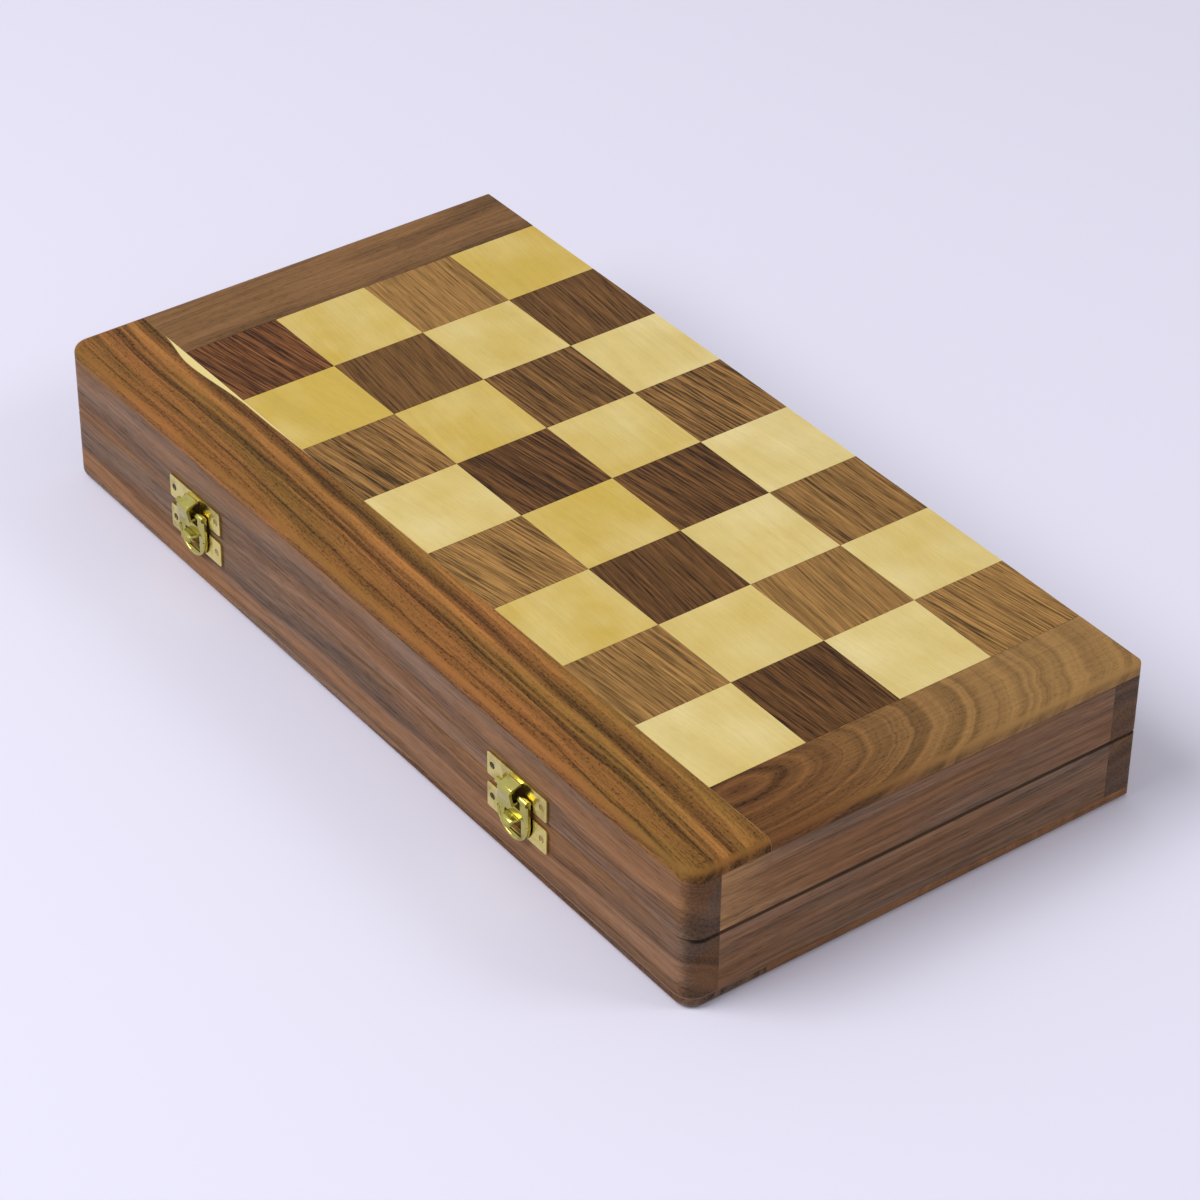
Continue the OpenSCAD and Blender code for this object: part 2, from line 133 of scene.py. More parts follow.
class ChessBoxStudio(bpy.types.PropertyGroup):
    """Floor, backdrop and lamps."""
    floor: colour_property("Floor", "Colour of the floor", srgb(227, 225, 243))
    backdrop: colour_property("Backdrop", "Colour behind the floor", srgb(232, 230, 244))
    ambient: bpy.props.FloatProperty(
        name="Ambient", description="Strength of the light from all round", default=0.45, min=0.0, max=2.0)
    key: bpy.props.FloatProperty(
        name="Key Lamp", description="Power of the lamp in front", subtype="POWER", default=32.0,
        min=0.0, max=200.0)
    back: bpy.props.FloatProperty(
        name="Back Lamp", description="Power of the lamp behind, to the right", subtype="POWER", default=4.2,
        min=0.0, max=200.0)


class Tree:
    """Adds nodes to one shader tree. A value may be a number, a vector, a colour or another node's socket."""

    def __init__(self, tree):
        self.tree = tree

    def feed(self, socket, value):
        if isinstance(value, bpy.types.NodeSocket):
            self.tree.links.new(value, socket)
        else:
            socket.default_value = value

    def node(self, kind, values=(), **settings):
        made = self.tree.nodes.new("ShaderNode" + kind)
        for name, value in settings.items():
            setattr(made, name, value)
        for key, value in dict(values).items():
            self.feed(made.inputs[key], value)
        return made

    def math(self, operation, *values, clamp=False):
        return self.node("Math", enumerate(values), operation=operation, use_clamp=clamp).outputs[0]

    def vector(self, operation, *values):
        made = self.node("VectorMath", enumerate(values), operation=operation)
        return made.outputs["Value" if operation in ("LENGTH", "DISTANCE", "DOT_PRODUCT") else "Vector"]

    def scaled(self, vector, amount):
        return self.node("VectorMath", {0: vector, "Scale": amount}, operation="SCALE").outputs["Vector"]

    def soften(self, shade, share):
        """Brings a shade nearer to 1 by a share."""
        return self.math("MULTIPLY_ADD", self.math("SUBTRACT", 1.0, shade), share, shade)

    def join(self, x, y, z):
        return self.node("CombineXYZ", {0: x, 1: y, 2: z}).outputs[0]

    def parts(self, vector):
        return self.node("SeparateXYZ", {0: vector}).outputs

    def blend(self, share, first, second, how="MIX"):
        return self.node("Mix", {0: share, 6: first, 7: second}, data_type="RGBA", blend_type=how).outputs[2]

    def spread(self, value, low, high, to_low=0.0, to_high=1.0, smooth=False):
        kind = "SMOOTHSTEP" if smooth else "LINEAR"
        return self.node("MapRange", {0: value, 1: low, 2: high, 3: to_low, 4: to_high},
                         interpolation_type=kind).outputs[0]

    def noise(self, place, scale, detail=2.0, roughness=0.5, distortion=0.0):
        return self.node("TexNoise", {"Vector": place, "Scale": scale, "Detail": detail,
                                      "Roughness": roughness, "Distortion": distortion}).outputs[0]

    def noise_line(self, distance, detail=2.0, roughness=0.5):
        return self.node("TexNoise", {"W": distance, "Scale": 1.0, "Detail": detail, "Roughness": roughness},
                         noise_dimensions="1D").outputs[0]

    def group(self, group, **values):
        made = self.tree.nodes.new("ShaderNodeGroup")
        made.node_tree = group
        for name, value in values.items():
            self.feed(made.inputs[name.replace("_", " ").title()], value)
        return made.outputs


def node_group(name, inputs, outputs, build):
    """The node group of that name, built on its first use."""
    group = bpy.data.node_groups.get(name)
    if group:
        return group
    group = bpy.data.node_groups.new(name, "ShaderNodeTree")
    for label, kind, value in inputs:
        socket = group.interface.new_socket(name=label, in_out="INPUT", socket_type="NodeSocket" + kind)
        if value is not None:
            socket.default_value = value
    for label, kind in outputs:
        group.interface.new_socket(name=label, in_out="OUTPUT", socket_type="NodeSocket" + kind)
    tree = Tree(group)
    given = group.nodes.new("NodeGroupInput").outputs
    out = group.nodes.new("NodeGroupOutput").inputs
    for label, value in build(tree, given).items():
        tree.feed(out[label], value)
    return group


def plank_figure():
    """Figure of a plank whose grain runs along X and whose pith lies on the X axis, all in millimetres."""
    def build(tree, given):
        seed = given["Seed"]
        place = tree.vector("ADD", given["Place"], tree.scaled(SEED_SHIFT, seed))
        wander = tree.noise(tree.vector("MULTIPLY", place, (0.22, 1.0, 1.0)), 0.03, 2.0, 0.5)
        ripple = tree.noise(tree.vector("MULTIPLY", place, (0.3, 1.0, 1.0)), 0.16, 2.0, 0.5)
        bent = tree.vector("MULTIPLY", given["Place"], tree.join(given["Bend"], 1.0, 1.0))
        drift = tree.math("SUBTRACT", wander, 0.5)
        radius = tree.math("MULTIPLY_ADD", drift, given["Warp"], tree.vector("LENGTH", bent))
        radius = tree.math("MULTIPLY_ADD", tree.math("SUBTRACT", ripple, 0.5), given["Ripple"], radius)
        count = tree.math("MULTIPLY_ADD", seed, 7.7, tree.math("DIVIDE", radius, given["Ring Gap"]))
        rings = tree.spread(tree.noise_line(count, 5.0, 0.7), 0.32, 0.68)
        sway = tree.math("MULTIPLY", drift, tree.math("MULTIPLY", given["Warp"], 0.5))
        swayed = tree.vector("ADD", place, tree.join(0.0, sway, 0.0))
        fibres = tree.noise(tree.vector("MULTIPLY", swayed, (0.025, 1.0, 1.0)), 1.35, 4.0, 0.7)
        fibres = tree.spread(fibres, 0.36, 0.64)
        stretch = tree.join(tree.math("DIVIDE", 1.0, given["Pore Length"]), 1.0, 1.0)
        dashes = tree.noise(tree.vector("MULTIPLY", swayed, stretch), 2.6, 3.0, 0.6)
        pores = tree.spread(dashes, 0.5, 0.7, smooth=True)
        shade = tree.math("MULTIPLY_ADD", tree.math("SUBTRACT", rings, 0.5), given["Ring Depth"], 1.0)
        shade = tree.math("MULTIPLY_ADD", tree.math("SUBTRACT", fibres, 0.5), given["Fibre Depth"], shade)
        shade = tree.math("SUBTRACT", shade, tree.math("MULTIPLY", pores, given["Pore Depth"]))
        height = tree.math("SUBTRACT", tree.math("MULTIPLY", fibres, 0.35), tree.math("MULTIPLY", pores, 0.8))
        return {"Shade": tree.math("MAXIMUM", shade, 0.2), "Pores": pores, "Height": height}

    return node_group(
        "Plank Figure",
        [("Place", "Vector", None), ("Seed", "Float", 0.0), ("Ring Gap", "Float", 4.0),
         ("Bend", "Float", 0.05), ("Warp", "Float", 12.0), ("Ripple", "Float", 1.5),
         ("Ring Depth", "Float", 0.3),
         ("Fibre Depth", "Float", 0.25), ("Pore Depth", "Float", 0.2), ("Pore Length", "Float", 8.0)],
        [("Shade", "Float"), ("Pores", "Float"), ("Height", "Float")], build)


def board_square():
    """Place within one square of the board, in millimetres, with random values for each square."""
    def build(tree, given):
        place = tree.vector("SUBTRACT", given["Place"], tree.join(0.0, 0.0, given["Face"]))
        board = tree.vector("MULTIPLY_ADD", place, (1 / SQUARE, -1 / SQUARE, 1 / SQUARE),
                            (FILES / 2, HINGE_EDGE / SQUARE + 0.001, 0.0))
        cell = tree.vector("FLOOR", tree.vector("MULTIPLY", board, (1.0, 1.0, 0.0)))
        cast = tree.vector("ADD", cell, tree.join(0.0, 0.0, given["Seed"]))
        dice = tree.node("TexWhiteNoise", {"Vector": cast}, noise_dimensions="3D")
        throws = tree.parts(dice.outputs["Color"])
        local = tree.vector("SUBTRACT", board, cell)
        local = tree.scaled(tree.vector("SUBTRACT", local, (0.5, 0.5, 0.0)), MM_PER_M * SQUARE)
        angle = tree.spread(throws[1], 0, 1, -0.16, 0.16)
        turned = tree.node("VectorRotate", {"Vector": local, "Angle": angle}, rotation_type="Z_AXIS")
        pith = tree.join(tree.spread(throws[0], 0, 1, -60.0, 60.0), tree.spread(throws[2], 0, 1, -30.0, 30.0),
                         tree.spread(throws[0], 0, 1, 12.0, 40.0))
        return {"Local": tree.vector("ADD", turned.outputs[0], pith), "Tone": dice.outputs["Value"],
                "Contrast": throws[1], "Cell": cell, "Seed": tree.math("MULTIPLY", throws[1], 19.0)}

    return node_group(
        "Board Square", [("Place", "Vector", None), ("Face", "Float", 0.0), ("Seed", "Float", 0.0)],
        [("Local", "Vector"), ("Tone", "Float"), ("Contrast", "Float"), ("Cell", "Vector"),
         ("Seed", "Float")], build)


def end_grain():
    """Share of end grain on a plank along X, from the surface's own direction."""
    def build(tree, given):
        facing = tree.math("ABSOLUTE", tree.parts(given["Normal"])[0])
        return {"Share": tree.spread(facing, 0.25, 0.75, smooth=True)}

    return node_group("End Grain", [("Normal", "Vector", None)], [("Share", "Float")], build)


def brass_patina():
    """Polished brass with soft tarnish and fine scratches."""
    def build(tree, given):
        place = given["Place"]
        cloud = tree.spread(tree.noise(place, 170.0, 4.0, 0.6), 0.42, 0.72, smooth=True)
        speck = tree.spread(tree.noise(place, 1500.0, 3.0, 0.6), 0.58, 0.78, smooth=True)
        scratch = tree.noise(tree.vector("MULTIPLY", place, (1.0, 9.0, 9.0)), 900.0, 3.0, 0.7)
        worn = tree.math("MULTIPLY", tree.math("MAXIMUM", cloud, speck), given["Tarnish Share"])
        return {"Color": tree.blend(worn, given["Fresh"], given["Tarnish"]),
                "Roughness": tree.math("MULTIPLY_ADD", worn, 0.22, given["Gloss"]), "Height": scratch}

    return node_group(
        "Brass Patina",
        [("Place", "Vector", None), ("Fresh", "Color", None), ("Tarnish", "Color", None),
         ("Tarnish Share", "Float", 0.35), ("Gloss", "Float", 0.24)],
        [("Color", "Color"), ("Roughness", "Float"), ("Height", "Float")], build)


def new_material(name):
    """An empty material with its tree, its Principled BSDF and the Object coordinates."""
    made = bpy.data.materials.new(name)
    made.use_nodes = True
    made.node_tree.nodes.clear()
    tree = Tree(made.node_tree)
    shader = tree.node("BsdfPrincipled")
    tree.node("OutputMaterial", {"Surface": shader.outputs[0]})
    spot = tree.node("TexCoord")
    return made, tree, shader, spot.outputs


def bump(tree, shader, height, strength, distance):
    made = tree.node("Bump", {"Height": height, "Strength": strength, "Distance": distance})
    tree.feed(shader.inputs["Normal"], made.outputs["Normal"])


def lacquer(tree, shader, figure, colour):
    """Colour, gloss and relief that all the lacquered woods share."""
    wood = bpy.context.scene.chess_box_wood
    tree.feed(shader.inputs["Base Color"], colour)
    rough = tree.spread(figure["Pores"], 0, 1, wood.roughness, wood.roughness + 0.2)
    tree.feed(shader.inputs["Roughness"], rough)
    shader.inputs["Specular IOR Level"].default_value = wood.shine
    bump(tree, shader, figure["Height"], 0.35, 0.00012)


def plank(name, colour, second=None, place=(0, 0, 0), turn=(0, 0, 0), seed=0.0, ends=0.0, edges=0.0, seam=0.0,
          paint=None, **figure):
    """Material of a solid plank. place and turn bring the pith to the X axis, in millimetres and degrees.
    Broad streaks turn it to a second colour. ends darkens its end grain. edges lightens its rounded edges,
    where the figure is fainter: partly plainer wood where the rounding cuts the grain, partly a painted
    highlight where the rounding catches the light. seam sets a painted shade on the edges that meet at the
    parting line on the end walls, standing in for the shadow in the gap between the halves.
    paint takes the tone and the shade and gives the colour that shows."""
    made, tree, shader, spot = new_material(name)
    mapped = tree.node("Mapping", {"Vector": spot["Object"], "Location": place, "Scale": [MM_PER_M] * 3,
                                   "Rotation": [math.radians(a) for a in turn]}).outputs[0]
    grain = tree.group(plank_figure(), place=mapped, seed=seed, **figure)
    shade = grain["Shade"]
    if ends:
        share = tree.group(end_grain(), normal=spot["Normal"])["Share"]
        shade = tree.math("MULTIPLY", shade, tree.spread(share, 0, 1, 1.0, 1.0 - ends))
    # Rounded edges: a lighter, plainer band, partly the wood where the rounding cuts the grain, partly a
    # painted highlight.
    if edges:
        upward = tree.parts(spot["Normal"])[2]
        level = tree.math("MULTIPLY", upward, upward)
        rounded = tree.math("MULTIPLY", tree.math("MULTIPLY", level, 4.0), tree.math("SUBTRACT", 1.0, level))
        shade = tree.soften(shade, tree.math("MULTIPLY", rounded, 0.85))
        shade = tree.math("MULTIPLY", shade, tree.math("MULTIPLY_ADD", rounded, edges, 1.0))
    # Painted shade: a dark band on the end faces at the parting line, standing in for the shadow in the gap
    # between the halves.
    if seam:
        away = tree.math("ABSOLUTE", tree.math("SUBTRACT", tree.parts(spot["Object"])[2], SEAM))
        facing = tree.math("ABSOLUTE", tree.parts(spot["Normal"])[0])
        painted_seam_shade = tree.spread(away, 0.0005, 0.0008, seam, 0.0)
        painted_seam_shade = tree.math("MULTIPLY", painted_seam_shade, tree.spread(facing, 0.3, 0.6))
        shade = tree.math("MULTIPLY", shade, tree.math("SUBTRACT", 1.0, painted_seam_shade))
    tone = colour
    if second:
        drawn = tree.vector("MULTIPLY_ADD", mapped, (0.12, 1.0, 1.0), [7.3 * seed] * 3)
        streaks = tree.noise(drawn, 0.07, 3.0, 0.55)
        tone = tree.blend(tree.spread(streaks, 0.4, 0.6), rgba(colour), rgba(second))
    shown = paint(tree, spot, tone if second else rgba(colour), shade) if paint else tree.scaled(tone, shade)
    lacquer(tree, shader, grain, shown)
    return made


def finish_node(node, material):
    """Gives a CAD node its material."""
    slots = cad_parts[node].data.materials
    slots.clear()
    slots.append(material)


def deselect():
    if bpy.context.mode != "OBJECT":
        bpy.ops.object.mode_set(mode="OBJECT")
    bpy.ops.object.select_all(action="DESELECT")


def activate(piece):
    deselect()
    piece.select_set(True)
    bpy.context.view_layer.objects.active = piece


def settle(piece):
    """Puts a finished piece's place into its mesh, so that its object sits at the origin."""
    activate(piece)
    bpy.ops.object.transform_apply(location=True, rotation=True, scale=True)


def modify(piece, kind, **settings):
    """Adds one modifier with these settings and applies it."""
    activate(piece)
    bpy.ops.object.modifier_add(type=kind)
    modifier = piece.modifiers[-1]
    for name, value in settings.items():
        setattr(modifier, name, value)
    bpy.ops.object.modifier_apply(modifier=modifier.name)


def dress(piece, material, body):
    """Gives a new piece its material, the slot it is repainted by, and the body it rides on."""
    piece.data.materials.clear()
    piece.data.materials.append(material)
    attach(piece, body)


def cad_copy(name, node):
    """A copy of a CAD node's shape as one clean mesh, ready to be worked."""
    made = bpy.data.objects.new(name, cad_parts[node].data.copy())
    bpy.context.scene.collection.objects.link(made)
    activate(made)
    bpy.ops.mesh.customdata_custom_splitnormals_clear()
    bpy.ops.object.mode_set(mode="EDIT")
    bpy.ops.mesh.select_all(action="SELECT")
    bpy.ops.mesh.remove_doubles(threshold=1e-6)
    bpy.ops.mesh.dissolve_limited(angle_limit=math.radians(0.4))
    bpy.ops.mesh.quads_convert_to_tris(quad_method="BEAUTY", ngon_method="BEAUTY")
    bpy.ops.object.mode_set(mode="OBJECT")
    return made


def stamped(name, node, edge, segments=3):
    """A brass piece in a CAD node's shape, with the soft edges that stamping leaves."""
    made = cad_copy(name, node)
    modify(made, "BEVEL", width=edge, segments=segments, limit_method="ANGLE", angle_limit=math.radians(40))
    activate(made)
    bpy.ops.object.shade_smooth_by_angle(angle=math.radians(35))
    return made


class CHESSBOX_OT_squares(bpy.types.Operator):
    """Finish the pale and dark squares of both halves"""
    bl_idname = "chess_box.squares"
    bl_label = "Finish the Squares"

    def execute(self, context):
        wood = context.scene.chess_box_wood
        for half, face in (("base", 0.0), ("lid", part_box("lid_dark_squares")[1].z)):
            pale_seed, dark_seed = SEED_SQUARES[half]
            finish_node(f"{half}_light_squares", self.pale(wood, half, face, pale_seed))
            finish_node(f"{half}_dark_squares", self.dark(wood, half, face, dark_seed))
        return {"FINISHED"}

    def pale(self, wood, half, face, seed):
        made, tree, shader, spot = new_material(f"{half} pale squares")
        square = tree.group(board_square(), place=spot["Object"], face=face, seed=seed)
        grain = tree.group(plank_figure(), place=square["Local"], seed=square["Seed"], ring_gap=4.5,
                           bend=0.06, warp=16.0, ripple=2.0, ring_depth=0.07, fibre_depth=0.06,
                           pore_depth=0.05)
        cloud = tree.noise(square["Local"], 0.05, 2.0, 0.5)
        tone = tree.math("MULTIPLY_ADD", tree.math("SUBTRACT", cloud, 0.5), 1.1, square["Tone"], clamp=True)
        colour = tree.blend(tone, rgba(wood.straw), rgba(wood.cream))
        lacquer(tree, shader, grain, tree.scaled(colour, grain["Shade"]))
        return made

    def dark(self, wood, half, face, seed):
        made, tree, shader, spot = new_material(f"{half} dark squares")
        square = tree.group(board_square(), place=spot["Object"], face=face, seed=seed)
        strong = tree.math("MULTIPLY", tree.spread(square["Contrast"], 0, 1, 0.7, 1.5),
                           tree.spread(square["Tone"], 0.5, 0.8, 1.0, 0.7))
        grain = tree.group(plank_figure(), place=square["Local"], seed=square["Seed"], ring_gap=3.6,
                           bend=0.05, warp=14.0, ripple=1.6, ring_depth=tree.math("MULTIPLY", strong, 0.45),
                           fibre_depth=tree.math("MULTIPLY", strong, 1.25),
                           pore_depth=tree.math("MULTIPLY", strong, 0.75), pore_length=26.0)
        colour = tree.blend(square["Tone"], rgba(wood.umber), rgba(wood.tan))
        file, rank = tree.parts(square["Cell"])[:2]
        front = tree.math("GREATER_THAN", rank, RANKS - 1.5)
        corner = tree.math("MULTIPLY", tree.math("LESS_THAN", file, 0.5), front)
        colour = tree.blend(tree.math("MULTIPLY", corner, 0.6), colour, rgba(wood.rust))
        lacquer(tree, shader, grain, tree.scaled(colour, grain["Shade"]))
        return made


class CHESSBOX_OT_borders(bpy.types.Operator):
    """Finish the border strips of both halves"""
    bl_idname = "chess_box.borders"
    bl_label = "Finish the Borders"

    def execute(self, context):
        wood = context.scene.chess_box_wood

        def sliver(tree, spot, tone, shade):
            """A sliver of sapwood along the strip's inner edge, widest near the left end."""
            starts, widest, narrow, thins, ends = -0.141, -0.122, -0.092, -0.08, -0.058
            widest_width, narrow_share, blur = 0.0027, 0.22, 0.0002
            x, y = tree.parts(spot["Object"])[:2]
            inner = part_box("lid_front_border")[1].y
            width = tree.math("MULTIPLY", tree.spread(x, starts, widest, 0.0, widest_width, smooth=True),
                              tree.spread(x, widest, narrow, 1.0, narrow_share, smooth=True))
            width = tree.math("MULTIPLY", width, tree.spread(x, thins, ends, 1.0, 0.0))
            share = tree.spread(tree.math("ADD", y, width), inner - blur, inner + blur, smooth=True)
            return tree.blend(share, tree.scaled(tone, shade), rgba(wood.sapwood))

        def golden_back(tree, spot, tone, shade):
            """The strip turns from dark heartwood at the front to golden wood at the hinged edge."""
            heart_ends, gold_starts = -0.05, 0.06
            y = tree.parts(spot["Object"])[1]
            share = tree.spread(y, heart_ends, gold_starts, smooth=True)
            softer = tree.soften(shade, tree.math("MULTIPLY", share, 0.5))
            return tree.scaled(tree.blend(share, tone, rgba(wood.right_gold)), softer)

        for half, seed in zip(HALVES, (4.0, 1.0)):
            top = half == "lid"
            face = -MM_PER_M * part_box("lid_front_border")[1].z if top else 0.0
            tones = (wood.long_border, wood.long_gold) if top else (wood.wall, wood.wall_grey)
            finish_node(f"{half}_front_border", plank(
                f"{half} long border", *tones, place=(0, 85, face - 9), turn=(0, 0, 2.2), seed=seed, ends=0.4,
                edges=0.15, ring_gap=4.5, bend=0.02, warp=12.0, ripple=2.2, ring_depth=1.15, fibre_depth=0.5,
                pore_depth=0.6, pore_length=3.0, paint=sliver if top else None))
            finish_node(f"{half}_left_border", plank(
                f"{half} left border", wood.left_border, place=(0, 140, face - 12), turn=(0, 0, 88),
                seed=seed + 1, edges=0.2, ring_gap=9.0, bend=0.03, warp=26.0, ripple=2.0, ring_depth=0.75,
                fibre_depth=0.5, pore_depth=0.35))
            finish_node(f"{half}_right_border", plank(
                f"{half} right border", wood.right_heart if top else wood.wall, place=(-45, -133, face - 6),
                turn=(0, 0, 90), seed=seed + 2, edges=0.35 if top else 0.0, ring_gap=2.4, bend=0.42, warp=5.0,
                ripple=1.6, ring_depth=0.95 if top else 0.4, fibre_depth=0.35,
                pore_depth=0.45 if top else 0.2, pore_length=4.0, paint=golden_back if top else None))
        return {"FINISHED"}


class CHESSBOX_OT_walls(bpy.types.Operator):
    """Finish the walls and the plywood panels of both trays"""
    bl_idname = "chess_box.walls"
    bl_label = "Finish the Walls"

    def execute(self, context):
        wood = context.scene.chess_box_wood

        def tan_corner(tree, spot, tone, shade):
            """Paler wood towards the front of the lid's right wall."""
            starts, full, raggedness = -0.035, -0.065, 0.03
            y = tree.parts(spot["Object"])[1]
            noise = tree.noise(spot["Object"], 50.0)
            ragged = tree.math("MULTIPLY", tree.math("SUBTRACT", noise, 0.5), raggedness)
            share = tree.spread(tree.math("ADD", y, ragged), starts, full, 0.0, 1.0, smooth=True)
            return tree.scaled(tree.blend(share, tone, rgba(wood.wall_tan)), shade)

        for half, seed in zip(HALVES, (8.0, 5.0)):
            for node, place, turn in (("front_wall", (0, 77, 14), 0), ("back_wall", (0, -77, 30), 0),
                                      ("left_wall", (0, -154, 22), 90), ("right_wall", (0, 154, 18), -90)):
                seed += 1
                finish_node(f"{half}_{node}", plank(
                    f"{half} {node.replace('_', ' ')}", wood.wall, wood.wall_grey, place=place,
                    turn=(0, 0, turn), seed=seed, ends=0.42 if turn == 0 else 0.0, seam=0.75, ring_gap=7.0,
                    bend=0.02, warp=22.0, ripple=2.2, ring_depth=0.65, fibre_depth=0.5, pore_depth=0.25,
                    pore_length=14.0,
                    paint=tan_corner if (half, node) == ("lid", "right_wall") else None))
            finish_node(f"{half}_panel", plank(
                f"{half} plywood panel", wood.ply, place=(0, 0, 900), seed=seed + 1, ring_gap=9.0, bend=0.02,
                warp=40.0, ripple=3.0, ring_depth=0.14, fibre_depth=0.12, pore_depth=0.08))
        return {"FINISHED"}


def cloth_material(name, colour, nap):
    """Felted cloth: a mottled nap with fine fibres standing from it."""
    made, tree, shader, spot = new_material(name)
    place = spot["Object"]
    mottle = tree.noise(place, 60.0, 3.0, 0.6)
    fibre = tree.noise(place, nap, 3.0, 0.7, 1.5)
    shade = tree.math("ADD", tree.spread(mottle, 0.3, 0.7, 0.86, 1.08),
                      tree.spread(fibre, 0.3, 0.7, -0.16, 0.16))
    tree.feed(shader.inputs["Base Color"], tree.scaled(colour, shade))
    shader.inputs["Roughness"].default_value = 0.92
    shader.inputs["Sheen Weight"].default_value = 0.25
    shader.inputs["Sheen Roughness"].default_value = 0.5
    bump(tree, shader, fibre, 0.5, 0.0002)
    return made


class CHESSBOX_OT_felt(bpy.types.Operator):
    """Lay a sheet of felt on each tray's floor"""
    bl_idname = "chess_box.felt"
    bl_label = "Lay the Felt"

    def execute(self, context):
        felt = cloth_material("felt lining", context.scene.chess_box_lining.felt, 1400.0)
        for half in HALVES:
            low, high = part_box(f"{half}_felt")
            size = high - low
            flat = (size.x - FELT_PLAY, size.y - FELT_PLAY)
            bpy.ops.mesh.primitive_grid_add(x_subdivisions=72, y_subdivisions=34, size=1.0,
                                            location=(low + high) / 2)
            sheet = bpy.context.object
            sheet.name = f"{half}_felt_sheet"
            sheet.scale = (*flat, 1.0)
            settle(sheet)
            unevenness = bpy.data.textures.new(f"{half} felt unevenness", "CLOUDS")
            unevenness.noise_scale = 0.03
            modify(sheet, "DISPLACE", texture=unevenness, strength=0.0004, mid_level=0.5,
                   texture_coords="LOCAL", direction="Z")
            modify(sheet, "SOLIDIFY", thickness=size.z * 0.5, offset=0.0)
            activate(sheet)
            bpy.ops.object.shade_smooth_by_angle(angle=math.radians(50))
            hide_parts(f"{half}_felt")
            dress(sheet, felt, half)
        return {"FINISHED"}


class CHESSBOX_OT_foam(bpy.types.Operator):
    """Fit the cloth-covered foam rail and ribs into both trays"""
    bl_idname = "chess_box.foam"
    bl_label = "Fit the Foam"

    def strip(self, name, low, high, up, rounding):
        """One covered strip: a block whose top edges are rounded by the cloth pulled over them."""
        bpy.ops.mesh.primitive_cube_add(size=1.0, location=(low + high) / 2)
        strip = bpy.context.object
        strip.name = name
        strip.scale = high - low
        settle(strip)
        long_way = 0 if high.x - low.x > high.y - low.y else 1
        bpy.ops.object.mode_set(mode="EDIT")
        bpy.ops.mesh.select_all(action="DESELECT")
        bpy.ops.object.mode_set(mode="OBJECT")
        rim = max(v.co.z * up for v in strip.data.vertices)
        for edge in strip.data.edges:
            ends = [strip.data.vertices[i].co for i in edge.vertices]
            edge.select = all(abs(p.z * up - rim) < 1e-6 for p in ends)
        bpy.ops.object.mode_set(mode="EDIT")
        bpy.ops.mesh.select_mode(type="EDGE")
        bpy.ops.mesh.bevel(offset=rounding, segments=5, profile=0.5)
        bpy.ops.mesh.select_all(action="DESELECT")
        bpy.ops.object.mode_set(mode="OBJECT")
        length = (high - low)[long_way]
        cuts = max(4, round(length / FOAM_STEP))
        for k in range(1, cuts):
            bpy.ops.object.mode_set(mode="EDIT")
            bpy.ops.mesh.select_all(action="SELECT")
            where = (low + high) / 2
            where[long_way] = low[long_way] + length * k / cuts
            normal = [0.0, 0.0, 0.0]
            normal[long_way] = 1.0
            bpy.ops.mesh.bisect(plane_co=where, plane_no=normal)
            bpy.ops.object.mode_set(mode="OBJECT")
        return strip

    def cover(self, piece, half):
        """Makes the cloth a little uneven over the foam."""
        unevenness = bpy.data.textures.new(f"{piece.name} unevenness", "CLOUDS")
        unevenness.noise_scale = 0.009
        modify(piece, "DISPLACE", texture=unevenness, strength=-0.0004, mid_level=0.0,
               texture_coords="LOCAL", direction="NORMAL")
        activate(piece)
        bpy.ops.object.shade_smooth_by_angle(angle=math.radians(50))

    def execute(self, context):
        lining = context.scene.chess_box_lining
        cloth = cloth_material("foam cover", lining.cover, 1700.0)
        for half in HALVES:
            up = 1 if half == "base" else -1
            rail_low, rail_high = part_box(f"{half}_foam_rail")
            rail = self.strip(f"{half}_covered_rail", rail_low, rail_high, up, lining.rounding)
            self.cover(rail, half)
            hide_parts(f"{half}_foam_rail")
            dress(rail, cloth, half)
            ribs_low, ribs_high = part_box(f"{half}_foam_ribs")
            pitch = (rail_high.x - rail_low.x) / FILES
            thick = ribs_high.x - ribs_low.x - (FILES - 2) * pitch
            ribs = []
            for start, end in ((ribs_low.y, rail_low.y), (rail_high.y, ribs_high.y)):
                low = Vector((ribs_low.x, start, ribs_low.z))
                high = Vector((ribs_low.x + thick, end, ribs_high.z))
                first = self.strip(f"{half}_rib", low, high, up, lining.rounding)
                ribs.append(first)
                for k in range(1, FILES - 1):
                    mesh = first.data.copy()
                    mesh.transform(Matrix.Translation((k * pitch, 0, 0)))
                    copy = bpy.data.objects.new(f"{half}_rib_{k}", mesh)
                    bpy.context.scene.collection.objects.link(copy)
                    ribs.append(copy)
            deselect()
            for rib in ribs:
                rib.select_set(True)
            bpy.context.view_layer.objects.active = ribs[0]
            bpy.ops.object.join()
            piece = bpy.context.object
            piece.name = f"{half}_covered_ribs"
            self.cover(piece, half)
            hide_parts(f"{half}_foam_ribs")
            dress(piece, cloth, half)
        return {"FINISHED"}


def brass_material(name, fresh, tarnish, share, gloss, paint=None):
    made, tree, shader, spot = new_material(name)
    patina = tree.group(brass_patina(), place=spot["Object"], fresh=rgba(fresh), tarnish=rgba(tarnish),
                        tarnish_share=share, gloss=gloss)
    colour = patina["Color"]
    tree.feed(shader.inputs["Base Color"], paint(tree, spot, colour) if paint else colour)
    tree.feed(shader.inputs["Roughness"], patina["Roughness"])
    shader.inputs["Metallic"].default_value = 1.0
    bump(tree, shader, patina["Height"], 0.12, 0.00004)
    return made


